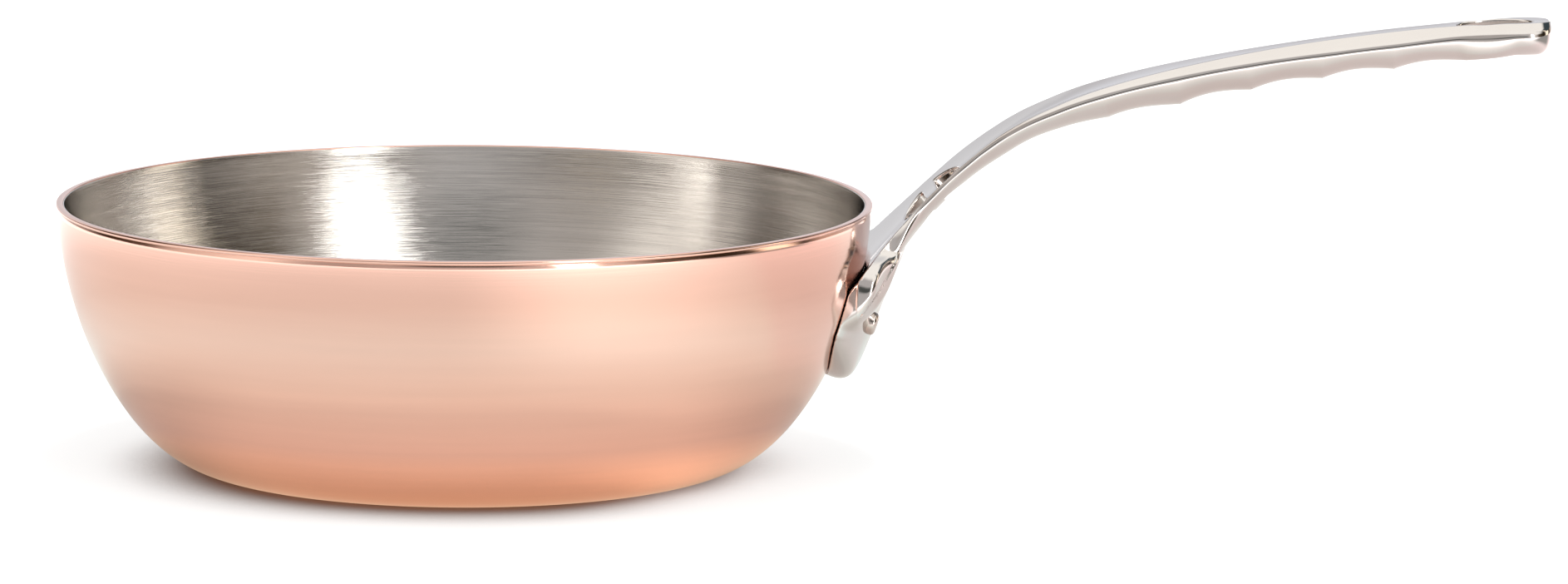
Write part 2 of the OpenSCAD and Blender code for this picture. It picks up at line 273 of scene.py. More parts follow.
@dataclass(frozen=True)
class HandleForm:
    """Sizes of the cast handle, in millimetres, and its surface as a field.

    The field is negative inside the metal. It takes the distance along the handle's top line,
    the distance to the side and the height over that line.
    """

    pan: PanForm = PanForm()
    reach: float = 319.3
    tip_h: float = 132.5
    root_inset: float = 6.0
    root_h: float = 58.2
    root_slope: float = 49.0
    bend_out: float = 54.0
    bend_h: float = 108.2
    bend_slope: float = 24.2
    root_w: float = 61.6
    neck_w: float = 27.6
    waist_w: float = 21.8
    grip_w: float = 7.5
    end_w: float = 16.0
    neck_out: float = 22.0
    waist_out: float = 38.0
    grip_out: float = 135.0
    swell_out: float = 162.0
    nose_l: float = 10.0
    root_depth: float = 6.9
    neck_depth: float = 5.8
    waist_depth: float = 6.9
    grip_depth: float = 11.6
    end_depth: float = 10.2
    deep_out: float = 86.0
    nose_r: float = 4.4
    neck_bevel: float = 0.5
    grip_bevel: float = 3.5
    end_bevel: float = 3.0
    bevel_run: float = 1.3
    root_run: float = 0.40
    bevel_power: float = 0.85
    neck_dish: float = 1.6
    grip_dish: float = 0.4
    ridge_out: float = 66.5
    ridge_pitch: float = 21.4
    hollow_count: int = 5
    hollow_depth: float = 1.3
    hollow_power: float = 0.9
    nose_tip: float = 0.92
    window_l: float = 21.5
    window_w: float = 20.0
    window_out: float = 16.0
    bar_w: float = 5.0
    eye_l: float = 22.0
    eye_w: float = 11.4
    eye_in: float = 16.1
    flange_w: float = 71.0
    flange_t: float = 7.8
    flange_h: float = 45.2
    flange_down: float = 18.2
    flange_fall: float = 0.62
    top_power: float = 5.0
    bottom_power: float = 1.75
    pillow_power: float = 10.0
    rivet_gap: float = 40.0
    rivet_h: float = 47.0
    button_d: float = 6.8
    edge_round: float = 0.32
    bevel_round: float = 1.15
    hole_round: float = 0.9
    fillet: float = 7.0
    shoulder: float = 6.5
    shoulder_up: float = 20.6
    side_fall: float = 0.06
    hole_draft: float = 0.10
    root_pull: float = 0.7
    bend_pull: float = 0.149
    grip_pull: float = 0.206
    tip_pull: float = 0.277
    shoulder_in: float = 4.0
    shoulder_out: float = 12.0
    bevel_out: float = 13.0
    flare_out: float = 34.0
    belly_power: float = 2.0
    end_power: float = 0.5
    thumb_in: float = 19.5
    thumb_half: float = 9.5
    thumb_power: float = 1.7
    thumb_bulge: float = 0.15
    bulge: float = 0.05
    more_bulge: float = 0.05
    bulge_fades: Pair = (92.0, 106.0)
    flange_blend: float = 3.0
    fall_up: float = 13.0
    pillow_more: float = 4.0
    pillow_up: float = 9.0
    crisp_more: float = 5.0
    crisp_up: float = 8.0
    share_limit: float = 1.6
    start_in: float = 5.0
    plan_blend: Pair = (14.0, 34.0)
    wall_gap: float = 0.14
    wall_round: float = 0.55
    tip_round: float = 1.0
    bar_round: float = 1.6

    def nose_share(self, x: Array) -> Array:
        """Returns how much of its width the handle keeps at x, less than 1 in the nose."""
        u = np.maximum(0.0, (x - self.reach + self.nose_l) / self.nose_l)
        return np.sqrt(np.maximum(0.0, 1 - (self.nose_tip * u) ** 2))

    def top_half(self, x: Array) -> Array:
        """Returns half the width of the top face at x."""
        rim = self.pan.rim_r
        neck, waist, grip = rim + self.neck_out, rim + self.waist_out, rim + self.grip_out
        width = stepped(x, self.neck_w, (self.waist_w, neck, waist), (self.grip_w, waist, grip),
                        (self.end_w, rim + self.swell_out, self.reach))
        width = width + (self.root_w - self.neck_w) * (1 - way(x, rim - self.root_inset, neck)) ** 2
        return self.nose_share(x) * width / 2

    def last_ridge(self) -> float:
        """Returns x of the last ridge under the grip."""
        return self.pan.rim_r + self.ridge_out + self.hollow_count * self.ridge_pitch

    def bevel_at(self, x: Array) -> Array:
        """Returns the depth of the side bevel at x."""
        rim = self.pan.rim_r
        thin = rim + (self.neck_out + self.waist_out) / 2
        last = self.last_ridge()
        return np.sqrt(self.nose_share(x)) * (
            self.shoulder
            + (self.neck_bevel - self.shoulder) * rise(x, rim - self.shoulder_in, rim + self.bevel_out)
            + (self.grip_bevel - self.neck_bevel) * way(x, thin, rim + self.grip_out) ** self.bevel_power
            + (self.end_bevel - self.grip_bevel) * rise(x, last - self.ridge_pitch, last))

    def depth_at(self, x: Array) -> Array:
        """Returns the depth of the handle at x, less the hollows for the fingers."""
        rim, last = self.pan.rim_r, self.last_ridge()
        first = rim + self.ridge_out
        u = (x - first) / self.ridge_pitch
        hollow = self.hollow_depth * np.sin(np.pi * (u - np.floor(u)) ** self.hollow_power)
        hollow = np.where((x < first) | (x > last), 0.0, hollow)
        c = np.clip(x - self.reach + self.nose_r, 0.0, self.nose_r)
        corner = self.nose_r - np.sqrt(self.nose_r**2 - c * c)
        depth = stepped(
            x, self.root_depth, (self.neck_depth, rim - self.root_inset, rim + self.neck_out),
            (self.waist_depth, rim + self.neck_out, rim + self.waist_out),
            (self.grip_depth, rim + self.waist_out, rim + self.deep_out),
            (self.end_depth, last - self.ridge_pitch, self.reach))
        return depth - hollow - corner

    def bar_field(self, x: Array, y: Array, h: Array, across: Array) -> tuple[Array, Array]:
        """Returns the fields of the long part of the handle.

        Args:
            x: The station on the top line, as its x.
            y: Distance to the side.
            h: Height over the top line, square to it.
            across: The x at which the plan width is read.

        Returns:
            The field of the sides and the belly, and the field of the top face.
        """
        rim, last = self.pan.rim_r, self.last_ridge()
        w, b, d = self.top_half(across), self.bevel_at(x), self.depth_at(x)
        flare = (self.top_half(across + 0.5) - self.top_half(across - 0.5)) * (x < rim + self.flare_out)
        dish = stepped(x, self.neck_dish, (self.grip_dish, rim + self.neck_out, rim + self.deep_out))
        run = stepped(x, self.root_run, (self.bevel_run, rim - self.shoulder_in, rim + self.shoulder_out))
        s, side = w + run * b, np.abs(y)
        top = (h + dish * (1 - (y / w) ** 2)) / np.sqrt(1 + (2 * dish * y / w**2) ** 2)
        bevel = ((side - w) + run * h) / np.sqrt(1.0 + run**2 + flare**2)
        thumb = np.maximum(0.0, 1 - ((x - self.reach + self.thumb_in) / self.thumb_half) ** 2) ** 2
        power = self.belly_power + self.end_power * rise(x, last - self.ridge_pitch, last)
        power = power + self.thumb_power * thumb
        c = np.maximum(d - b, 1.0)
        q = np.maximum(0.0, -h - b) / c
        fades = rise(x, rim + self.bulge_fades[0], rim + self.bulge_fades[1])
        share = self.bulge + self.more_bulge * (1 - fades) + self.thumb_bulge * thumb
        share = share * rise(x, rim + self.neck_out, rim + self.waist_out)
        bulge = share * c * q * np.maximum(0.0, 1 - q) ** 2
        k = np.maximum((np.maximum(0.0, side - bulge) / s) ** power + q**power, 1e-9) ** (1 / power)
        grad = k ** (1 - power) * np.hypot((side / s) ** (power - 1) / s, q ** (power - 1) / c)
        belly = (k - 1) / np.maximum(grad, 0.35 / np.maximum(s, c))
        return soft_max(bevel, belly, self.bevel_round), top

    def flange_field(self, x: Array, y: Array, z: Array) -> tuple[Array, Array]:
        """Returns the field of the flange, and the distance outwards from the pan's wall.

        Args:
            x: Place along the pan's X axis.
            y: Place along the pan's Y axis.
            z: Height over the base.

        Returns:
            The flange's field and the distance from the wall.
        """
        r = np.hypot(x, y)
        off, h = self.pan.wall_place(r, z)
        side = np.abs(y) / r * (r - off * 0.95)
        up = h - self.flange_h
        power = stepped(up, self.bottom_power, (self.top_power, -self.flange_blend, self.flange_blend))
        reach = np.where(up > 0, self.shoulder_up, self.flange_down)
        share = ((side / (self.flange_w / 2)) ** power + (np.abs(up) / reach) ** power) ** (1 / power)
        fall = stepped(up, self.flange_fall, (self.side_fall, -self.flange_blend, self.fall_up))
        thick = self.flange_t * (1 - fall * np.minimum(1.0, 2 * side / self.flange_w) ** 2)
        pillow = self.pillow_power + self.pillow_more * rise(up, 0.0, self.pillow_up)
        power = 2.0 + self.crisp_more * rise(up, 0.0, self.crisp_up)
        near = np.minimum(share, self.share_limit) ** (pillow / 2 * power)
        return ((near + np.abs(off / thick) ** power) ** (1 / power) - 1) * thick, off


class TopLine:
    """The handle's top line, measured along its length from its start inside the pan's rim."""

    def __init__(self, form: HandleForm) -> None:
        """Samples the line.

        Args:
            form: The handle's sizes.
        """
        rim = form.pan.rim_r
        root = np.array([rim - form.root_inset, form.root_h])
        bend = np.array([rim + form.bend_out, form.bend_h])
        tip = np.array([form.reach, form.tip_h])
        a, b = math.radians(form.root_slope), math.radians(form.bend_slope)
        root_dir, bend_dir = np.array([math.cos(a), math.sin(a)]), np.array([math.cos(b), math.sin(b)])
        near, far = np.linalg.norm(bend - root), np.linalg.norm(tip - bend)
        neck = Cubic((root, root + form.root_pull * near * root_dir, bend - form.bend_pull * near * bend_dir, bend))
        grip = Cubic((bend, bend + form.grip_pull * far * bend_dir, tip - (form.tip_pull * far, 0.0), tip))
        t = np.linspace(0.0, 1.0, 1500)
        points = np.concatenate([neck.at(t)[:-1], grip.at(t)])
        dirs = np.concatenate([neck.along(t)[:-1], grip.along(t)])
        steps = np.linalg.norm(np.diff(points, axis=0), axis=1)
        self.s = np.concatenate([[0.0], np.cumsum(steps)])
        self.points, self.angle = points, np.arctan2(dirs[:, 1], dirs[:, 0])
        self.length = float(self.s[-1])

    def at(self, s: Array) -> tuple[Array, Array, Array]:
        """Returns x, z and the slope in radians at distances s, going on straight past both ends."""
        inner = np.clip(s, 0.0, self.length)
        angle = np.interp(inner, self.s, self.angle)
        beyond = s - inner
        x = np.interp(inner, self.s, self.points[:, 0]) + beyond * np.cos(angle)
        z = np.interp(inner, self.s, self.points[:, 1]) + beyond * np.sin(angle)
        return x, z, angle

    def s_of_x(self, x: float) -> float:
        """Returns the distance along the line at which it has a given x."""
        return float(np.interp(x, self.points[:, 0], self.s))


@dataclass
class CastHandle:
    """The handle as one casting: bar, flange, fillets, windows and hanging hole."""

    form: HandleForm

    # The lattice's columns across and rows down, its breaks and steps along the handle, the length of
    # the fine steps in the nose, and how far it goes on past the tip.
    LATTICE = (101, 63)
    BREAKS = (-40.0, 24.0, 64.0)
    STEPS = (0.62, 0.66, 0.8, 0.4)
    NOSE = 8.0
    PAST = 1.2
    # How far it goes past the metal, at the side and above also how much more over the flange, and
    # how deep it goes under the flange.
    SIDE = (1.0, 3.4)
    ABOVE = (0.9, 6.6)
    BELOW = 2.0
    FLANGE_DEPTH = 26.0
    # How much of the way each smoothing round moves a vertex, and its longest move to the surface.
    RELAX = 0.35
    LONGEST_MOVE = 0.4

    def __post_init__(self) -> None:
        """Works out the top line."""
        self.line = TopLine(self.form)

    def field(self, s: Array, y: Array, h: Array) -> Array:
        """Returns the casting's field at places given along, beside and over the top line."""
        f = self.form
        x0, z0, angle = self.line.at(s)
        x, z = x0 - h * np.sin(angle), z0 + h * np.cos(angle)
        across = x0 + (x - x0) * (1 - rise(s, *f.plan_blend))
        bar, top = f.bar_field(x0, y, h, across)
        bar = soft_max(soft_max(bar, -(s + f.start_in), f.fillet), s - self.line.length, f.tip_round)
        near = s < f.plan_blend[1]
        out = soft_max(bar, top, f.edge_round)
        if near.any():
            flange, off = f.flange_field(x[near], y[near], z[near])
            both = soft_max(soft_min(bar[near], flange, f.fillet), top[near], f.edge_round)
            out[near] = soft_max(both, f.wall_gap - off, f.wall_round)
        return self._openings(out, x, y, z)

    def _openings(self, field: Array, x: Array, y: Array, z: Array) -> Array:
        """Cuts the two windows and the hanging hole, with rounded edges."""
        f = self.form
        for centre, half_l, half_w, bar in (
            (f.pan.rim_r + f.window_out, f.window_l / 2, f.window_w / 2, f.bar_w / 2),
            (f.reach - f.eye_in, f.eye_l / 2, f.eye_w / 2, None),
        ):
            x0, z0, angle = self.line.at(np.array(self.line.s_of_x(centre)))
            u = (x - x0) * math.cos(angle) + (z - z0) * math.sin(angle)
            down = (x0 - x) * math.sin(angle) + (z - z0) * math.cos(angle)
            draft = f.hole_draft * np.clip(-down, 0.0, 16.0)
            hole = oval_field(u, y, half_l, half_w) - draft
            if bar is not None:
                hole = soft_max(hole, bar - np.abs(u), f.bar_round)
            field = np.where(np.abs(u) < half_l + 4, soft_max(field, -hole, f.hole_round), field)
        return field

    def lattice(self) -> Array:
        """Returns a lattice that follows the handle, with s, y and h for each node."""
        f, line = self.form, self.line
        ends = (*self.BREAKS, line.length - self.NOSE, line.length + self.PAST)
        s = np.concatenate([np.arange(a, b, step) for a, b, step in zip(ends, ends[1:], self.STEPS)])
        x = line.at(s)[0]
        rim = f.pan.rim_r
        outer = f.top_half(x) / np.maximum(f.nose_share(x), 0.01) + f.bevel_run * f.bevel_at(x)
        half = outer + self.SIDE[0] + self.SIDE[1] * (1 - rise(x, rim - 2, rim + 20))
        top = self.ABOVE[0] + self.ABOVE[1] * (1 - rise(s, 6.0, 22.0))
        low = f.depth_at(x) + self.BELOW + f.hollow_depth
        low = low + (self.FLANGE_DEPTH - low) * (1 - rise(s, 0.0, self.FLANGE_DEPTH))
        v, w = np.linspace(-1.0, 1.0, self.LATTICE[0])[:, None], np.linspace(0.0, 1.0, self.LATTICE[1])
        s, half, low, top = (row[:, None, None] for row in (s, half, low, top))
        return np.stack(np.broadcast_arrays(s, half * v, (low + top) * w - low), -1)

    def surface(self) -> tuple[Array, Array, Array]:
        """Finds the casting's skin.

        Returns:
            The vertices in millimetres, the faces as rows of four, and the normals.
        """
        places = self.lattice()
        cells, faces = surface_net(self.field(*np.moveaxis(places, -1, 0)), places)
        cells = self._settle(cells, 2)
        for _ in range(3):
            cells = relax(cells, faces, self.RELAX)
            cells = self._settle(cells, 1)
        cells = self._settle(cells, 2)
        grad = self._gradient(cells)
        x0, z0, angle = self.line.at(cells[:, 0])
        c, n = np.cos(angle), np.sin(angle)
        points = np.stack([x0 - cells[:, 2] * n, cells[:, 1], z0 + cells[:, 2] * c], -1)
        normals = np.stack([grad[:, 0] * c - grad[:, 2] * n, grad[:, 1], grad[:, 0] * n + grad[:, 2] * c], -1)
        normals /= np.linalg.norm(normals, axis=1, keepdims=True)
        return points, faces, normals

    def _gradient(self, p: Array, step: float = 0.03) -> Array:
        """Returns the field's gradient at places p, by small steps both ways."""
        return np.stack([
            (self.field(*(p + move).T) - self.field(*(p - move).T)) / (2 * step)
            for move in np.eye(3) * step
        ], -1)

    def _settle(self, p: Array, rounds: int) -> Array:
        """Moves places p onto the field's zero surface."""
        for _ in range(rounds):
            value, grad = self.field(*p.T), self._gradient(p)
            step = value[:, None] * grad / np.maximum((grad**2).sum(1, keepdims=True), 0.05)
            size = np.linalg.norm(step, axis=1, keepdims=True)
            p = p - step * np.minimum(1.0, self.LONGEST_MOVE / np.maximum(size, 1e-9))
        return p

    def build(self, steel: Material) -> Object:
        """Makes the casting as one polished piece.

        Args:
            steel: Its material.

        Returns:
            The object.
        """
        points, faces, normals = self.surface()
        mesh = bpy.data.meshes.new("handle_casting")
        mesh.from_pydata((points * MM).tolist(), [], faces.tolist())
        mesh.polygons.foreach_set("use_smooth", np.ones(len(faces), bool))
        mesh.normals_split_custom_set_from_vertices(normals.tolist())
        mesh.update()
        mask = mesh.attributes.new("edge", "FLOAT", "POINT")
        mask.data.foreach_set("value", edge_mask(points, faces, normals).astype(np.float32))
        mesh.materials.append(steel)
        return dress(new_object("handle_casting", mesh), "handle")


def surface_net(values: Array, places: Array) -> tuple[Array, Array]:
    """Makes a mesh of quads where a field on a lattice changes sign.

    Args:
        values: The field at the lattice's nodes.
        places: The nodes' places, with three numbers each.

    Returns:
        One place for each vertex, and the faces as rows of four.
    """
    inside = values < 0
    n = np.array(values.shape) - 1
    corners = [(i, j, k) for i in (0, 1) for j in (0, 1) for k in (0, 1)]
    count = np.lib.stride_tricks.sliding_window_view(inside, (2, 2, 2)).sum((3, 4, 5))
    active = (count > 0) & (count < len(corners))
    where = np.argwhere(active)
    ids = np.full(active.shape, -1, np.int64)
    ids[active] = np.arange(len(where))
    total, hits = np.zeros((len(where), 3)), np.zeros(len(where))
    for a, b in combinations(corners, 2):
        if sum(u != v for u, v in zip(a, b)) != 1:
            continue
        ia, ib = (tuple((where + np.array(corner)).T) for corner in (a, b))
        va, vb = values[ia], values[ib]
        cross = (va < 0) != (vb < 0)
        t = np.where(cross, va / np.where(cross, va - vb, 1.0), 0.0)[:, None]
        total += np.where(cross[:, None], places[ia] * (1 - t) + places[ib] * t, 0.0)
        hits += cross
    vertices = total / hits[:, None]
    faces = []
    for axis in range(3):
        u, v = (k for k in range(3) if k != axis)
        a, b = (np.take(inside, range(k, n[axis] + k), axis) for k in (0, 1))
        edge = np.argwhere(a != b)
        edge = edge[(edge[:, u] > 0) & (edge[:, v] > 0) & (edge[:, u] < n[u]) & (edge[:, v] < n[v])]
        quad = []
        for move in ((-1, -1), (0, -1), (0, 0), (-1, 0)):
            cell = edge.copy()
            cell[:, [u, v]] += move
            quad.append(ids[tuple(cell.T)])
        quad = np.stack(quad, -1)
        out = a[tuple(edge.T)] != (axis == 1)
        faces.append(np.where(out[:, None], quad, quad[:, ::-1]))
    return vertices, np.concatenate(faces)


def relax(p: Array, faces: Array, share: float) -> Array:
    """Moves each vertex part of the way to the mean of its neighbours."""
    total, hits = np.zeros_like(p), np.zeros(len(p))
    for k in range(4):
        a, b = faces[:, k], faces[:, (k + 1) % 4]
        np.add.at(total, a, p[b])
        np.add.at(total, b, p[a])
        np.add.at(hits, a, 1)
        np.add.at(hits, b, 1)
    return p + share * (total / np.maximum(hits, 1)[:, None] - p)


def edge_mask(points: Array, faces: Array, normals: Array) -> Array:
    """Returns how sharply the surface bends at each vertex, from 0 to 1."""
    total, hits = np.zeros(len(points)), np.zeros(len(points))
    for k in range(4):
        a, b = faces[:, k], faces[:, (k + 1) % 4]
        gap = np.linalg.norm(points[a] - points[b], axis=1)
        bend = ((normals[b] - normals[a]) * (points[b] - points[a])).sum(1) / np.maximum(gap, 0.05) ** 2
        for v in (a, b):
            np.add.at(total, v, np.maximum(bend, 0.0))
            np.add.at(hits, v, 1)
    return np.clip(total / hits / 1.2, 0.0, 1.0)


# Meshes


def new_object(name: str, data: bpy.types.ID) -> Object:
    """Makes an object of a mesh, lamp or camera, and links it to the scene."""
    obj = bpy.data.objects.new(name, data)
    bpy.context.scene.collection.objects.link(obj)
    return obj


def face_out(mesh: bpy.types.Mesh) -> None:
    """Turns all faces of a closed mesh outwards."""
    work = bmesh.new()
    work.from_mesh(mesh)
    bmesh.ops.recalc_face_normals(work, faces=work.faces)
    work.to_mesh(mesh)
    work.free()


def arc(centre: Pair, half: Pair, start: float, end: float, count: int) -> list[list[float]]:
    """Returns points on an arc of an ellipse, with angles in degrees."""
    angles = np.radians(np.linspace(start, end, count))
    return [[centre[0] + half[0] * math.cos(a), centre[1] + half[1] * math.sin(a)] for a in angles]


def dress(piece: Object, node: str) -> Object:
    """Puts a piece on the frame in place of a node, and returns it."""
    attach(piece, "root")
    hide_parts(node)
    return piece


# Node trees


class Nodes:
    """A thin helper that adds nodes to a tree and links them."""

    RELIEF = 0.0002

    def __init__(self, tree: bpy.types.NodeTree) -> None:
        """Keeps the tree to add to."""
        self.tree = tree

    def feed(self, node: bpy.types.Node, inputs: Inputs) -> None:
        """Gives a node's inputs, by name or number, their values or links."""
        for key, value in inputs.items():
            if isinstance(value, Socket):
                self.tree.links.new(value, node.inputs[key])
            else:
                node.inputs[key].default_value = value

    def add(self, kind: str, inputs: Inputs | None = None, **settings: object) -> bpy.types.Node:
        """Adds a node.

        Args:
            kind: The node's type.
            inputs: A value or an output socket for each input, by name or number.
            settings: The node's own properties, which are set first.

        Returns:
            The new node.
        """
        node = self.tree.nodes.new(kind)
        for key, value in settings.items():
            setattr(node, key, value)
        self.feed(node, inputs or {})
        return node

    def out(self, kind: str, inputs: Inputs | None = None, **settings: object) -> Socket:
        """Adds a node and returns its first output."""
        return self.add(kind, inputs, **settings).outputs[0]

    def math(self, operation: str, a: Value, b: Value = 0.0, c: Value = 0.0) -> Socket:
        """Adds a Math node and returns its output."""
        return self.out("ShaderNodeMath", {0: a, 1: b, 2: c}, operation=operation)

    def times(self, a: Value, b: Value) -> Socket:
        """Returns the product of two values."""
        return self.math("MULTIPLY", a, b)

    def ramp(self, value: Value, low: float, high: float, to_low: float = 0.0, to_high: float = 1.0) -> Socket:
        """Adds a smooth Map Range and returns its output."""
        return self.out("ShaderNodeMapRange", {
            "Value": value, "From Min": low, "From Max": high, "To Min": to_low, "To Max": to_high,
        }, interpolation_type="SMOOTHSTEP")

    def fade(self, value: Value, low: float, high: float) -> Socket:
        """Returns a smooth fall from 1 to 0."""
        return self.ramp(value, low, high, 1.0, 0.0)

    def gate(self, value: Value, edges: Edges) -> Socket:
        """Returns a mask that rises between the first two edges and fades between the last two."""
        return self.times(self.ramp(value, *edges[:2]), self.fade(value, *edges[2:]))

    def mix(self, share: Value, a: Value, b: Value, blend: str = "MIX") -> Socket:
        """Adds a colour Mix and returns its output."""
        a, b = (side if isinstance(side, Socket) else (*side, 1.0) for side in (a, b))
        return self.add("ShaderNodeMix", {0: share, 6: a, 7: b}, data_type="RGBA", blend_type=blend).outputs[2]

    def noise(self, vector: Socket, scale: Value, detail: float, rough: float = 0.5, warp: float = 0.0) -> Socket:
        """Adds a Noise Texture and returns its value."""
        return self.out("ShaderNodeTexNoise", {
            "Vector": vector, "Scale": scale, "Detail": detail, "Roughness": rough, "Distortion": warp,
        })

    def bump(self, height: Socket, strength: float) -> Socket:
        """Adds a Bump and returns its normal."""
        return self.out("ShaderNodeBump", {"Strength": strength, "Distance": self.RELIEF, "Height": height})

    def colours(self, value: Socket, stops: Stops, blend: str = "LINEAR") -> Socket:
        """Adds a Color Ramp.

        Args:
            value: Where to read the ramp, from 0 to 1.
            stops: The places and colours, in order.
            blend: How the ramp goes from one colour to the next.

        Returns:
            The ramp's colour.
        """
        node = self.add("ShaderNodeValToRGB", {0: value})
        ramp = node.color_ramp
        ramp.interpolation = blend
        for place, _ in stops[1:-1]:
            ramp.elements.new(place)
        ramp.elements[0].position, ramp.elements[-1].position = stops[0][0], stops[-1][0]
        for element, (_, colour) in zip(ramp.elements, stops):
            element.color = (*colour, 1.0)
        return node.outputs[0]


class LatheTree:
    """A Geometry Nodes tree that turns a profile of points about the Z axis and puts it in place."""

    INPUTS = {"Profile": "Geometry", "Steps": "Int", "Lean": "Rotation", "Place": "Vector", "Material": "Material"}
    WELD = 2e-6

    def __init__(self) -> None:
        """Builds the tree: a grid that is wrapped round the axis, welded, put in place and painted."""
        self.tree = bpy.data.node_groups.new("lathe", "GeometryNodeTree")
        socket = self.tree.interface.new_socket
        self.ids = {name: socket(name, in_out="INPUT", socket_type="NodeSocket" + kind).identifier
                    for name, kind in self.INPUTS.items()}
        socket("Geometry", in_out="OUTPUT", socket_type="NodeSocketGeometry")
        n = Nodes(self.tree)
        given = n.add("NodeGroupInput").outputs
        size = n.add("GeometryNodeAttributeDomainSize", {0: given["Profile"]}, component="MESH")
        rows = n.out("FunctionNodeIntegerMath", {0: given["Steps"], 1: 1}, operation="ADD")
        across = size.outputs["Point Count"]
        grid = n.add("GeometryNodeMeshGrid", {"Vertices X": across, "Vertices Y": rows}).outputs
        index = n.out("GeometryNodeInputIndex")
        point, turn = (n.out("FunctionNodeIntegerMath", {0: index, 1: rows}, operation=operation)
                       for operation in ("DIVIDE_FLOOR", "MODULO"))
        profile = n.out("GeometryNodeSampleIndex", {
            "Geometry": given["Profile"], "Value": n.out("GeometryNodeInputPosition"), "Index": point,
        }, data_type="FLOAT_VECTOR", domain="POINT")
        angle = n.times(n.math("DIVIDE", turn, given["Steps"]), math.tau)
        spun = n.out("ShaderNodeVectorRotate", {"Vector": profile, "Angle": angle}, rotation_type="Z_AXIS")
        shape = n.out("GeometryNodeStoreNamedAttribute", {
            "Name": "UVMap", "Geometry": grid["Mesh"], "Value": grid["UV Map"],
        }, data_type="FLOAT2", domain="CORNER")
        shape = n.out("GeometryNodeSetPosition", {"Geometry": shape, "Position": spun})
        shape = n.out("GeometryNodeMergeByDistance", {"Geometry": shape, "Distance": self.WELD})
        shape = n.out("GeometryNodeTransform", {
            "Geometry": shape, "Translation": given["Place"], "Rotation": given["Lean"],
        })
        shape = n.out("GeometryNodeSetShadeSmooth", {0: shape})
        shape = n.out("GeometryNodeRealizeInstances", {0: shape})
        shape = n.out("GeometryNodeSetMaterial", {"Geometry": shape, "Material": given["Material"]})
        n.add("NodeGroupOutput", {0: shape})

    def turn_out(
        self,
        name: str,
        profile: Array,
        steps: int,
        material: Material,
        place: Vector = Vector(),
        lean: Triple = (0.0, 0.0, 0.0),
    ) -> Object:
        """Makes a closed turned piece as a plain mesh.

        Args:
            name: The piece's name.
            profile: Points of radius and height, in millimetres, from axis to axis.
            steps: How many faces go round.
            material: The piece's material.
            place: Where the profile's origin goes, in millimetres.
            lean: The turns about X, Y and Z, in radians.

        Returns:
            The finished object.
        """
        rows = [(r * MM, 0.0, h * MM) for r, h in profile]
        source = bpy.data.meshes.new(name + "_profile")
        source.from_pydata(rows, [(k, k + 1) for k in range(len(rows) - 1)], [])
        obj = new_object(name, source)
        modifier = obj.modifiers.new("lathe", "NODES")
        modifier.node_group = self.tree
        given = {"Steps": steps, "Place": tuple(place * MM), "Lean": lean, "Material": material}
        for key, value in given.items():
            modifier[self.ids[key]] = value
        depsgraph = bpy.context.evaluated_depsgraph_get()
        mesh = bpy.data.meshes.new_from_object(obj.evaluated_get(depsgraph))
        obj.modifiers.remove(modifier)
        obj.data = mesh
        bpy.data.meshes.remove(source)
        mesh.name = name
        face_out(mesh)
        return obj


# Effects that several finishes share


def new_group(name: str, inputs: dict[str, float | None], outputs: tuple[str, ...]) -> Nodes:
    """Starts a shader node group.

    Args:
        name: The group's name.
        inputs: The first value of each number that it takes, or None where it takes a vector.
        outputs: The names of the masks that it puts out.

    Returns:
        A helper for the group's tree.
    """
    tree = bpy.data.node_groups.new(name, "ShaderNodeTree")
    for key, value in inputs.items():
        kind = "NodeSocketVector" if value is None else "NodeSocketFloat"
        socket = tree.interface.new_socket(key, in_out="INPUT", socket_type=kind)
        if value is not None:
            socket.default_value = value
    for key in outputs:
        tree.interface.new_socket(key, in_out="OUTPUT", socket_type="NodeSocketFloat")
    return Nodes(tree)


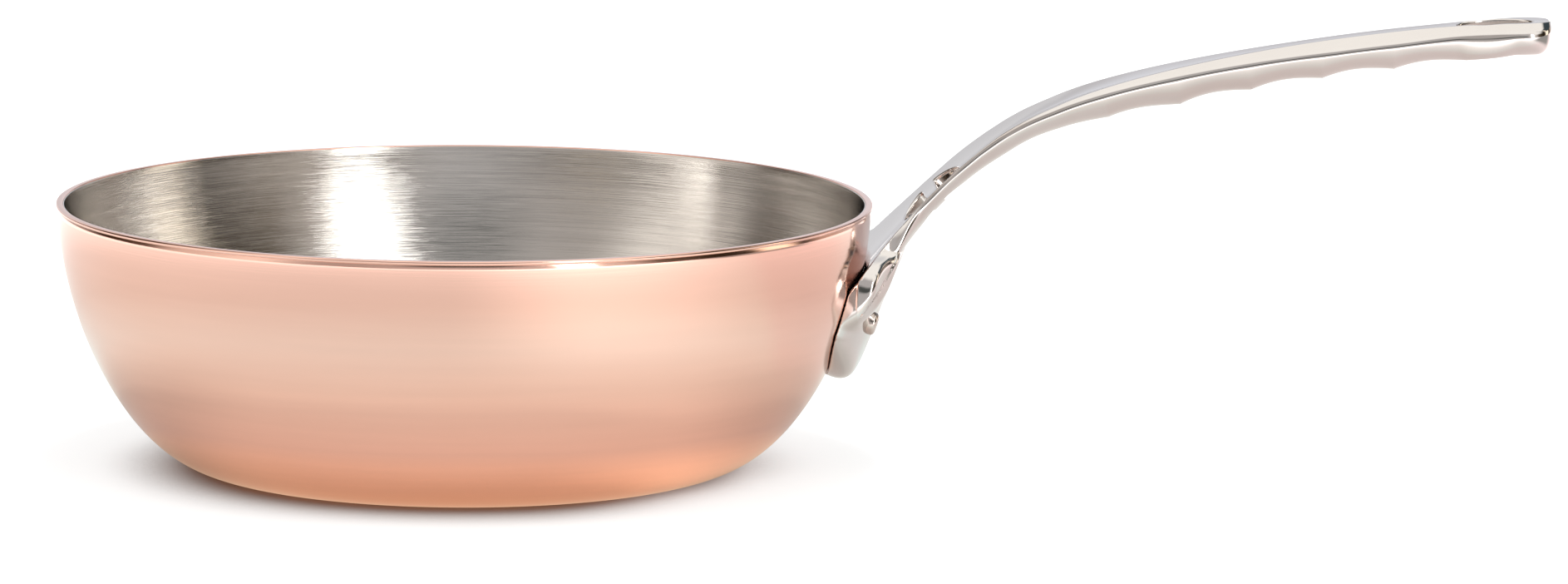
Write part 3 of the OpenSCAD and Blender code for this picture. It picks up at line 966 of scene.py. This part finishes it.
class Effects:
    """The shader node groups that more than one finish uses."""

    # How many lines there are for each that is asked for: the mask's name, across and around.
    LINES = (("Fine", 1.0, 1.0), ("Broad", 0.16, 0.6))
    # The directions of the scratches: an angle in radians, and how many times longer than wide they are.
    STROKES = ((0.4, 14.0), (1.7, 20.0), (2.6, 17.0))
    STROKE_AXIS = (0.3, 1.0, 0.5)
    HAIR = 0.012

    def __init__(self) -> None:
        """Builds each group once."""
        self.rings, self.scratches, self.smudges = self._rings(), self._scratches(), self._smudges()

    def _rings(self) -> bpy.types.NodeTree:
        """Fine lines that run round the Z axis, on the wall and on the base alike."""
        n = new_group("ring_lines", {"Vector": None, "Around": 3.0, "Across": 2000.0}, ("Fine", "Broad"))
        given = n.add("NodeGroupInput").outputs
        x, y, z = n.add("ShaderNodeSeparateXYZ", {0: given["Vector"]}).outputs
        radius = n.math("SQRT", n.math("ADD", n.times(x, x), n.times(y, y)))
        safe = n.math("MAXIMUM", radius, 1e-4)
        masks = {}
        for name, across, around in self.LINES:
            lines = n.times(given["Around"], around)
            masks[name] = n.noise(n.out("ShaderNodeCombineXYZ", {
                0: n.times(n.math("DIVIDE", x, safe), lines),
                1: n.times(n.math("DIVIDE", y, safe), lines),
                2: n.times(n.math("ADD", radius, z), n.times(given["Across"], across)),
            }), 1.0, 3.0, 0.6)
        n.add("NodeGroupOutput", masks)
        return n.tree

    def _scratches(self) -> bpy.types.NodeTree:
        """Hair scratches in several directions, few and thin."""
        n = new_group("hair_scratches", {"Vector": None, "Scale": 60.0, "Amount": 0.5}, ("Mask",))
        given = n.add("NodeGroupInput").outputs
        total: Value = 0.0
        for turn, stretch in self.STROKES:
            spun = n.out("ShaderNodeVectorRotate", {
                "Vector": given["Vector"], "Axis": self.STROKE_AXIS, "Angle": turn,
            }, rotation_type="AXIS_ANGLE")
            long = n.out("ShaderNodeVectorMath", {0: spun, 1: (1.0, stretch, stretch)}, operation="MULTIPLY")
            middle = n.math("SUBTRACT", n.noise(long, given["Scale"], 2.0), 0.5)
            line = n.fade(n.math("ABSOLUTE", middle), 0.0, self.HAIR)
            patch = n.ramp(n.noise(spun, given["Scale"], 1.0), 0.55, 0.7)
            total = n.math("MAXIMUM", total, n.times(line, patch))
        n.add("NodeGroupOutput", {"Mask": n.times(total, given["Amount"])})
        return n.tree

    def _smudges(self) -> bpy.types.NodeTree:
        """Soft cloudy patches, as a wiped surface has."""
        n = new_group("wiped_patches", {"Vector": None, "Scale": 18.0}, ("Value",))
        given = n.add("NodeGroupInput").outputs
        cloud = n.noise(given["Vector"], given["Scale"], 4.0, 0.55, 0.6)
        n.add("NodeGroupOutput", {"Value": n.ramp(cloud, 0.3, 0.7)})
        return n.tree


# Finishes


@dataclass(frozen=True)
class Finish:
    """A metal finish. Its make method returns the material."""

    name: str
    colour: Colour
    shade: Colour
    roughness: float
    anisotropic: float = 0.0
    quarter_turn: float = 0.25
    relief: float = 0.0

    def make(self, effects: Effects) -> Material:
        """Makes the material, stretched round the Z axis where the finish is anisotropic.

        Args:
            effects: The shared node groups.

        Returns:
            The material.
        """
        material = bpy.data.materials.new(self.name)
        material.use_nodes = True
        material.diffuse_color = (*self.colour, 1.0)
        n = Nodes(material.node_tree)
        shader = material.node_tree.nodes["Principled BSDF"]
        n.feed(shader, {"Metallic": 1.0, "Anisotropic": self.anisotropic})
        if self.anisotropic:
            around = n.out("ShaderNodeTangent", direction_type="RADIAL", axis="Z")
            n.feed(shader, {"Anisotropic Rotation": self.quarter_turn, "Tangent": around})
        place = n.add("ShaderNodeTexCoord").outputs["Object"]
        tint, rough, height = self.surface(n, place, effects)
        n.feed(shader, {"Base Color": tint, "Roughness": rough, "Normal": n.bump(height, self.relief)})
        return material

    def surface(self, n: Nodes, place: Socket, effects: Effects) -> tuple[Socket, Socket, Socket]:
        """Works out the finish, in each kind of finish its own way.

        Args:
            n: The helper for the material's tree.
            place: The object coordinates.
            effects: The shared node groups.

        Returns:
            The colour, the roughness and the height of the relief.
        """
        raise NotImplementedError

    @staticmethod
    def use(n: Nodes, tree: bpy.types.NodeTree, **inputs: Value) -> bpy.types.NodeOutputs:
        """Places an effect with its own values and returns its outputs."""
        return n.add("ShaderNodeGroup", inputs, node_tree=tree).outputs

    @staticmethod
    def streaked(n: Nodes, tint: Socket, lines: Socket, contrast: float) -> Socket:
        """Returns a tint with lighter and darker lines, the same on average."""
        streak = n.math("MULTIPLY_ADD", lines, contrast, 1.0 - contrast / 2)
        return n.mix(1.0, tint, n.out("ShaderNodeCombineColor", {0: streak, 1: streak, 2: streak}), "MULTIPLY")


@dataclass(frozen=True)
class PolishedCopper(Finish):
    """Copper with fine polishing lines round it, a warmer, darker painted shade low down and a few hair scratches.
    """

    painted_shade_h: float = 0.05
    painted_shade_share: float = 0.55
    contrast: float = 0.06
    relief: float = 0.06

    def surface(self, n: Nodes, place: Socket, effects: Effects) -> tuple[Socket, Socket, Socket]:
        """Works out the colour, the roughness and the height of the relief."""
        rings = self.use(n, effects.rings, Vector=place, Around=2.2, Across=1500.0)
        cloud = self.use(n, effects.smudges, Vector=place, Scale=14.0)[0]
        hair = self.use(n, effects.scratches, Vector=place, Scale=55.0, Amount=0.5)[0]
        # Painted shade: the tint goes darker and warmer towards the base.
        low = n.fade(n.add("ShaderNodeSeparateXYZ", {0: place}).outputs[2], 0.0, self.painted_shade_h)
        tint = n.mix(n.times(low, self.painted_shade_share), self.colour, self.shade)
        tint = n.mix(n.times(cloud, 0.05), tint, self.shade)
        rough = n.math("MULTIPLY_ADD", rings["Fine"], 0.04, self.roughness - 0.02)
        rough = n.math("MULTIPLY_ADD", cloud, 0.02, rough)
        rough = n.math("MULTIPLY_ADD", hair, 0.08, rough)
        height = n.math("MULTIPLY_ADD", hair, -0.4, rings["Fine"])
        return self.streaked(n, tint, rings["Broad"], self.contrast), rough, height


@dataclass(frozen=True)
class RingBrushedSteel(Finish):
    """Stainless steel brushed in rings, with broad and fine lines."""

    contrast: float = 0.34
    relief: float = 0.28

    def surface(self, n: Nodes, place: Socket, effects: Effects) -> tuple[Socket, Socket, Socket]:
        """Works out the colour, the roughness and the height of the relief."""
        rings = self.use(n, effects.rings, Vector=place, Around=1.6, Across=3800.0)
        cloud = self.use(n, effects.smudges, Vector=place, Scale=10.0)[0]
        tint = n.mix(n.times(cloud, 0.3), self.colour, self.shade)
        rough = n.math("MULTIPLY_ADD", rings["Fine"], 0.12, self.roughness - 0.06)
        return self.streaked(n, tint, rings["Broad"], self.contrast), rough, rings["Fine"]


@dataclass(frozen=True)
class CastSteel(Finish):
    """Cast stainless steel polished to a mirror, lighter and softer where its edges are rubbed."""

    rubbed: Colour = (0.93, 0.92, 0.91)
    grain: float = 420.0
    relief: float = 0.02

    def surface(self, n: Nodes, place: Socket, effects: Effects) -> tuple[Socket, Socket, Socket]:
        """Works out the colour, the roughness and the height of the relief."""
        cloud = self.use(n, effects.smudges, Vector=place, Scale=40.0)[0]
        hair = self.use(n, effects.scratches, Vector=place, Scale=90.0, Amount=1.0)[0]
        worn = n.add("ShaderNodeAttribute", attribute_name="edge").outputs["Fac"]
        tint = n.mix(n.times(cloud, 0.25), self.colour, self.shade)
        rough = n.math("MULTIPLY_ADD", cloud, 0.03, self.roughness - 0.01)
        rough = n.math("MULTIPLY_ADD", hair, 0.10, rough)
        rough = n.math("MULTIPLY_ADD", worn, 0.06, rough)
        height = n.math("MULTIPLY_ADD", hair, -0.6, n.noise(place, self.grain, 2.0))
        return n.mix(n.times(worn, 0.25), tint, self.rubbed), rough, height


# The pieces


@dataclass
class PanBody:
    """The copper shell and the steel lining."""

    form: PanForm
    lathe: LatheTree
    steps: int = 288
    seam: float = 0.01
    crease: Pair = (0.1, 0.12)
    bead_in: float = 0.15
    rim_flat: Pair = (0.3, 0.9)
    rim_round: Pair = (0.35, 0.3)
    lip: float = 0.12
    lip_drop: float = 0.32
    lip_bevel: Pair = (0.08, 0.1)

    # The radii of the rings of faces on the flat base: below and inside, of the shell and of the lining.
    SHELL_RINGS = ((0.0, 20.0, 40.0, 56.0, 66.0, 71.0, 73.0), (60.0, 40.0, 20.0, 0.0))
    LINING_RINGS = ((0.0, 40.0, 66.0), (66.0, 56.0, 44.0, 32.0, 20.0, 10.0, 4.0, 0.0))

    def shell_profile(self) -> Array:
        """Returns the copper's profile, from the axis under the base round to the axis inside."""
        f, half, (below, within) = self.form, self.form.bead_h / 2, self.SHELL_RINGS
        (wide, high), (round_w, round_h) = self.crease, self.rim_round
        rows: list[list[float]] = [[r, 0.0] for r in below]
        rows += f.layer(0.0).tolist()
        rows += arc((f.wall_top_r - wide, f.wall_h - wide / 2), (wide, high), 0, 60, 2)[1:]
        bead_r = f.wall_top_r - self.bead_in
        rows += arc((bead_r, f.wall_h + half), (f.bead_proud + self.bead_in, half), -74, 60, 13)
        rows += [[f.wall_top_r - back, f.height] for back in self.rim_flat]
        inner = f.layer(f.copper_t)[::-1]
        rows += arc((inner[0][0] + round_w, f.height - round_h), (round_w, round_h), 90, 180, 7)
        rows += inner[1:].tolist()
        rows += [[r, f.copper_t] for r in within]
        return np.array(rows)

    def lining_profile(self) -> Array:
        """Returns the lining's profile, from the axis under it round to the axis on its inside."""
        f, under, top = self.form, self.form.copper_t + self.seam, self.form.height - self.lip_drop
        outer, inner = f.layer(under), f.layer(f.wall_t)[::-1]
        (below, within), (bevel_w, bevel_h) = self.LINING_RINGS, self.lip_bevel
        rows: list[list[float]] = [[r, under] for r in below]
        rows += outer[:-1].tolist()
        rows += [[outer[-1][0], top - bevel_h], [outer[-1][0] - bevel_w, top]]
        rows += arc((inner[0][0] + self.lip, top - self.lip), (self.lip, self.lip), 90, 180, 4)
        rows += inner[1:].tolist()
        rows += [[r, f.wall_t] for r in within]
        return np.array(rows)

    def build(self, copper: Material, steel: Material) -> list[Object]:
        """Makes both skins and puts them on the frame.

        Args:
            copper: The shell's material.
            steel: The lining's material.

        Returns:
            The two objects.
        """
        shell = self.lathe.turn_out("copper_skin", self.shell_profile(), self.steps, copper)
        lining = self.lathe.turn_out("lining_skin", self.lining_profile(), self.steps, steel)
        return [dress(shell, "copper_shell"), dress(lining, "steel_lining")]


@dataclass
class Rivets:
    """The two rivets: a low dome inside the pan, a shank and a round end outside."""

    form: HandleForm
    lathe: LatheTree
    shank_d: float = 6.0
    dome_d: float = 12.0
    dome_h: float = 2.0
    dome_edge: Pair = (0.4, 0.28)
    proud: float = 2.2
    seat_share: float = 0.6
    end_round: Pair = (1.3, 1.2)
    end_step: float = 0.2
    end_slim: Pair = (0.05, 2.6)
    end_full: float = 1.8
    crown: tuple[float, ...] = (1.6, 0.8, 0.0)
    crown_h: float = 0.02
    steps: int = 64

    def face_off(self) -> float:
        """Returns how far the flange's face is off the wall at a rivet."""
        f = self.form
        return f.flange_t * (1 - f.flange_fall * (f.rivet_gap / f.flange_w) ** 2)

    def profile(self) -> Array:
        """Returns the rivet's profile, from the dome's top to the outer end."""
        half, dome, shank = self.form.button_d / 2, self.dome_d / 2, self.shank_d / 2
        wall, (wide, high) = self.form.pan.wall_t, self.end_round
        ball = (dome**2 + self.dome_h**2) / (2 * self.dome_h)
        rows = [[ball * math.sin(a), -wall - self.dome_h + ball * (1 - math.cos(a))]
                for a in np.linspace(0.0, math.asin(dome / ball), 16)]
        edge, (edge_w, edge_h) = -wall + self.dome_edge[0], self.dome_edge
        rows += [[dome, -wall + edge_h], [dome - edge_w, edge], [shank, edge]]
        seat, end = self.face_off() * self.seat_share, self.face_off() + self.proud
        slim, low = self.end_slim
        rows += [[shank, seat], [half - self.end_step, seat]]
        rows += [[half - slim, end - low], [half, end - self.end_full]]
        rows += arc((half - wide, end - high), (wide, high), 12, 84, 14)
        rows += [[r, end + self.crown_h] for r in self.crown]
        return np.array(rows)

    def build(self, steel: Material) -> list[Object]:
        """Makes both rivets.

        Args:
            steel: Their material.

        Returns:
            The two objects.
        """
        made = []
        for side in Side:
            at, lean, turn = self.form.pan.on_wall(side.value * self.form.rivet_gap / 2, self.form.rivet_h)
            name = side.name.lower() + "_rivet"
            piece = self.lathe.turn_out(
                name + "_piece", self.profile(), self.steps, steel, at, (0.0, math.pi / 2 + lean, turn))
            made.append(dress(piece, name))
        return made


# The studio


@dataclass(frozen=True)
class Zone:
    """A soft-edged part of the surroundings, with the light that comes from it.

    Its edges are where it starts, is full, starts to fade and ends. Turn is in radians from the
    camera's side, rising to the right, and height is the Z of the direction.
    """

    turn: Edges
    height: Edges
    light: Colour

    def over(self, n: Nodes, rest: Socket, turn: Socket, height: Socket) -> Socket:
        """Returns the light of the surroundings with this zone laid over them."""
        return n.mix(n.times(n.gate(turn, self.turn), n.gate(height, self.height)), rest, self.light)


@dataclass
class Studio:
    """Floor, world, lamp and camera."""

    floor_half: float = 4.0
    floor_drop: float = 0.0001
    floor_grey: Colour = (0.40, 0.40, 0.40)
    glow: float = 0.80
    mirrored_share: float = 0.38
    shadow_reach: float = 0.04
    lamp_at: Triple = (0.0, -0.7, 1.9)
    lamp_size: Pair = (2.4, 1.6)
    lamp_power: float = 12.0
    lamp_aim: Triple = (0.0, 0.0, 0.06)
    camera_at: Triple = (0.0, -2.4, 0.4265)
    yaw: float = 2.246
    pitch: float = 8.888
    roll: float = 0.456
    lens: float = 189.1

    # Azimuth in degrees, 0 towards the camera and rising to the right, and the light from there.
    BANDS = (
        (-180, (0.79, 0.80, 0.85)), (-174, (0.70, 0.70, 0.73)), (-169, (0.84, 0.85, 0.88)),
        (-155, (0.85, 0.87, 0.91)), (-138, (0.45, 0.41, 0.38)), (-120, (0.05, 0.03, 0.015)),
        (-104, (0.10, 0.07, 0.05)), (-85, (0.85, 0.77, 0.70)), (-62, (1.15, 1.07, 0.99)),
        (-40, (0.52, 0.48, 0.45)), (8, (0.62, 0.60, 0.59)), (42, (0.84, 0.77, 0.72)),
        (60, (0.13, 0.10, 0.07)), (76, (0.03, 0.02, 0.01)), (88, (0.04, 0.03, 0.02)),
        (95, (1.90, 1.66, 1.34)), (102, (1.90, 1.66, 1.34)), (109, (0.02, 0.015, 0.01)),
        (122, (0.62, 0.50, 0.42)), (150, (0.80, 0.82, 0.86)), (180, (0.79, 0.80, 0.85)),
    )
    # Distance from the pan's middle in metres, and the painted reflection that a mirroring surface finds on the
    # floor there.
    PAINTED_REFLECTIONS = (
        (0.062, (2.60, 2.00, 1.35)), (0.082, (1.85, 1.36, 0.95)), (0.105, (0.76, 0.66, 0.60)),
        (0.14, (0.57, 0.57, 0.52)), (0.18, (0.57, 0.65, 0.63)), (0.25, (0.50, 0.475, 0.44)),
        (0.36, (0.60, 0.57, 0.55)), (0.60, (1.30, 1.24, 1.23)),
    )
    # The dark corner behind on the right, which the neck mirrors, and the dark end of the handle's nose.
    CORNER = Zone((2.45, 2.65, 2.80, 2.95), (0.16, 0.24, 0.42, 0.52), (0.05, 0.035, 0.03))
    NOSE = Zone((1.60, 1.75, 2.40, 2.60), (0.38, 0.44, 0.76, 0.84), (0.06, 0.085, 0.10))
    # A dark band in front: the turns to both sides over which it ends, and its height.
    FRONT_TURN = (0.15, 0.40)
    FRONT_HEIGHT = (0.26, 0.36, 0.46, 0.60)
    FRONT_DARK = (0.05, 0.06, 0.055)
    # The ceiling, which comes lower down over two ranges of turns, each with the heights where it starts
    # and is full.
    CEILING = (1.34, 1.32, 1.26)
    CEILING_HEIGHT = (0.80, 0.93)
    CEILING_LOW = (((0.45, 0.70), (0.42, 0.62, 1.2, 1.5)), ((0.66, 0.82), (1.2, 1.5, 2.6, 2.9)))
    # The soft box: its turn, the turns to both sides over which it ends, and the heights of its top.
    SOFT_BOX = (6.0, 5.9, 5.7)
    SOFT_BOX_TURN = math.radians(31.5)
    SOFT_BOX_HALF = (0.080, 0.094)
    SOFT_BOX_TOP = (0.70, 0.75)
    WHITE = (1.0, 1.0, 1.0)
    # Painted reflections that a mirroring surface finds on the floor besides: the turns of a broad painted sheen,
    # of a fainter one and of the two flanks of painted shade, and the painted dark and the painted warm part on the
    # right, with distances in metres.
    PAINTED_SHEEN = (-0.10, 0.50, 0.54, 1.50)
    PAINTED_SHEEN_FAR = (0.12, 0.24)
    PAINTED_FAINT_SHEEN = (-1.40, -0.45)
    PAINTED_FLANK_SHADE = (0.7, 1.3)
    NEAR = (0.12, 0.17)
    PAINTED_DARK = (1.0, 1.3, 1.7, 2.0)
    PAINTED_DARK_FAR = (0.45, 0.60)
    PAINTED_DARK_LIGHT = (0.02, 0.015, 0.01)
    PAINTED_WARM = (1.25, 1.45, 1.9, 2.2)
    PAINTED_WARM_TINT = (1.0, 0.85, 0.86)

    def camera(self) -> None:
        """Sets the camera where the photograph was taken from."""
        data = bpy.data.cameras.new("photo_view")
        data.sensor_width, data.lens = 36.0, self.lens
        data.clip_start, data.clip_end = 0.05, 40.0
        obj = new_object("photo_view", data)
        spin = Matrix.Translation(self.camera_at)
        for turn, axis in ((-self.yaw, "Z"), (90.0 - self.pitch, "X"), (self.roll, "Z")):
            spin = spin @ Matrix.Rotation(math.radians(turn), 4, axis)
        obj.matrix_world = spin
        bpy.context.scene.camera = obj

    def floor(self) -> None:
        """Lays the white floor."""
        s = self.floor_half
        mesh = bpy.data.meshes.new("floor")
        mesh.from_pydata([(-s, -s, 0), (s, -s, 0), (s, s, 0), (-s, s, 0)], [], [(0, 1, 2, 3)])
        obj = new_object("floor", mesh)
        obj.location.z = -self.floor_drop
        mesh.materials.append(self.floor_paint())

    def floor_paint(self) -> Material:
        """Makes the floor's material: white with a shadow to the camera, partly real and partly painted into its
        glow, and painted reflections for what mirrors it.
        """
        material = bpy.data.materials.new("white_floor")
        material.use_nodes = True
        n = Nodes(material.node_tree)
        shader = material.node_tree.nodes["Principled BSDF"]
        path = n.add("ShaderNodeLightPath").outputs
        mirrored = n.math("MAXIMUM", path["Is Glossy Ray"], path["Is Transmission Ray"])
        seen = n.math("MAXIMUM", path["Is Camera Ray"], mirrored)
        place = n.add("ShaderNodeTexCoord").outputs["Object"]
        far = n.add("ShaderNodeVectorMath", {0: place}, operation="LENGTH").outputs["Value"]
        x, y, _ = n.add("ShaderNodeSeparateXYZ", {0: place}).outputs
        turn = n.math("ARCTAN2", x, n.times(y, -1.0))
        # A painted broad sheen to the right of the front, a faint painted one to the left, and painted shade, less
        # light, at both flanks.
        painted_sheen = n.times(n.gate(turn, self.PAINTED_SHEEN), 0.85)
        painted_sheen = n.math("ADD", painted_sheen, n.ramp(turn, *self.PAINTED_FAINT_SHEEN, 0.12, 0.0))
        painted_flank_shade = n.times(n.ramp(n.math("ABSOLUTE", turn), *self.PAINTED_FLANK_SHADE), n.ramp(far, *self.NEAR, 0.32, 0.0))
        painted_sheen = n.math("SUBTRACT", n.times(painted_sheen, n.ramp(far, *self.PAINTED_SHEEN_FAR)), painted_flank_shade)
        # Painted reflections of the floor, by distance from the pan, times the painted sheen.
        painted_light = n.mix(1.0, n.colours(far, self.PAINTED_REFLECTIONS), n.math("ADD", painted_sheen, 1.0), "MULTIPLY")
        # Far to the right it is painted dark, and under the handle it is painted warm.
        painted_dark = n.times(n.gate(turn, self.PAINTED_DARK), n.ramp(far, *self.PAINTED_DARK_FAR))
        painted_light = n.mix(painted_dark, painted_light, self.PAINTED_DARK_LIGHT)
        painted_warm = n.times(n.gate(turn, self.PAINTED_WARM), n.ramp(far, *self.NEAR))
        painted_light = n.mix(painted_warm, painted_light, n.mix(1.0, painted_light, self.PAINTED_WARM_TINT, "MULTIPLY"))
        # The glow fades close to the pan, and less so on the right, which paints a soft shadow into it.
        shade = n.add("ShaderNodeAmbientOcclusion", {"Distance": self.shadow_reach}).outputs["AO"]
        shade = n.math("ADD", shade, n.ramp(turn, 0.2, 0.9, 0.0, 0.17))
        share = n.math("ADD", n.ramp(shade, 0.05, 0.56, 0.0, 0.90), n.ramp(shade, 0.86, 0.99, 0.0, 0.25))
        share = n.math("MAXIMUM", share, n.times(mirrored, self.mirrored_share))
        n.feed(shader, {
            "Base Color": (*self.floor_grey, 1.0), "Roughness": 0.9, "Specular IOR Level": 0.0,
            "Emission Color": n.mix(mirrored, (0.97, 1.0, 1.01), painted_light),
            "Emission Strength": n.times(seen, n.times(share, self.glow)),
        })
        return material

    def lamp(self) -> None:
        """Hangs the soft box over the pan."""
        data = bpy.data.lights.new("top_box", "AREA")
        data.shape, (data.size, data.size_y) = "RECTANGLE", self.lamp_size
        data.energy, data.color = self.lamp_power, (1.0, 0.99, 0.98)
        obj = new_object("top_box", data)
        obj.location = self.lamp_at
        aim = Vector(self.lamp_aim) - Vector(self.lamp_at)
        obj.rotation_euler = aim.to_track_quat("-Z", "Y").to_euler()
        obj.visible_camera = obj.visible_glossy = False

    def world(self) -> None:
        """Builds the surroundings: soft upright bands, dark zones, a soft box and a white ceiling."""
        world = bpy.data.worlds.new("studio")
        bpy.context.scene.world = world
        world.use_nodes = True
        n = Nodes(world.node_tree)
        world.node_tree.nodes.clear()
        way_to = n.add("ShaderNodeTexCoord").outputs["Generated"]
        x, y, z = n.add("ShaderNodeSeparateXYZ", {0: way_to}).outputs
        turn = n.math("ARCTAN2", x, n.times(y, -1.0))
        bands = tuple((angle / 360 + 0.5, colour) for angle, colour in self.BANDS)
        sky = n.colours(n.math("MULTIPLY_ADD", turn, 1 / math.tau, 0.5), bands, "EASE")
        front = n.times(n.fade(n.math("ABSOLUTE", turn), *self.FRONT_TURN), n.gate(z, self.FRONT_HEIGHT))
        sky = n.mix(n.times(front, 0.92), sky, self.FRONT_DARK)
        sky = self.CORNER.over(n, sky, turn, z)
        ceiling = n.ramp(z, *self.CEILING_HEIGHT)
        for heights, turns in self.CEILING_LOW:
            ceiling = n.math("MAXIMUM", ceiling, n.times(n.ramp(z, *heights), n.gate(turn, turns)))
        sky = n.mix(ceiling, sky, self.CEILING)
        sky = self.NOSE.over(n, sky, turn, z)
        aside = n.math("ABSOLUTE", n.math("SUBTRACT", turn, self.SOFT_BOX_TURN))
        box = n.times(n.fade(aside, *self.SOFT_BOX_HALF), n.fade(z, *self.SOFT_BOX_TOP))
        sky = n.mix(box, sky, self.SOFT_BOX)
        seen = n.mix(n.add("ShaderNodeLightPath").outputs["Is Camera Ray"], sky, self.WHITE)
        glow = n.out("ShaderNodeBackground", {"Color": seen, "Strength": 1.0})
        n.add("ShaderNodeOutputWorld", {"Surface": glow})

    def build(self) -> None:
        """Sets up the whole studio."""
        self.floor()
        self.world()
        self.lamp()
        self.camera()
        bpy.context.scene.view_settings.view_transform = "Standard"


def main() -> None:
    """Builds the pan, its handle and the studio round them."""
    logging.basicConfig(level=logging.INFO, format="%(name)s: %(message)s")
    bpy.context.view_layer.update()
    effects, lathe = Effects(), LatheTree()
    copper = PolishedCopper(
        "polished_copper", colour=(0.86, 0.56, 0.465), shade=(0.80, 0.42, 0.29), roughness=0.11, anisotropic=0.3)
    lining = RingBrushedSteel(
        "ring_brushed_steel", colour=(0.68, 0.66, 0.635), shade=(0.62, 0.59, 0.56), roughness=0.11, anisotropic=0.9)
    cast = CastSteel("mirror_cast_steel", colour=(0.655, 0.620, 0.600), shade=(0.60, 0.565, 0.545), roughness=0.06)
    rivet = CastSteel("rivet_steel", colour=(0.64, 0.57, 0.53), shade=(0.57, 0.50, 0.46), roughness=0.12)
    handle = HandleForm()
    made = PanBody(handle.pan, lathe).build(copper.make(effects), lining.make(effects))
    made.append(CastHandle(handle).build(cast.make(effects)))
    made += Rivets(handle, lathe).build(rivet.make(effects))
    Studio().build()
    for piece in made:
        LOG.info("%s: %d faces", piece.name, len(piece.data.polygons))


if __name__ == "__main__":
    main()
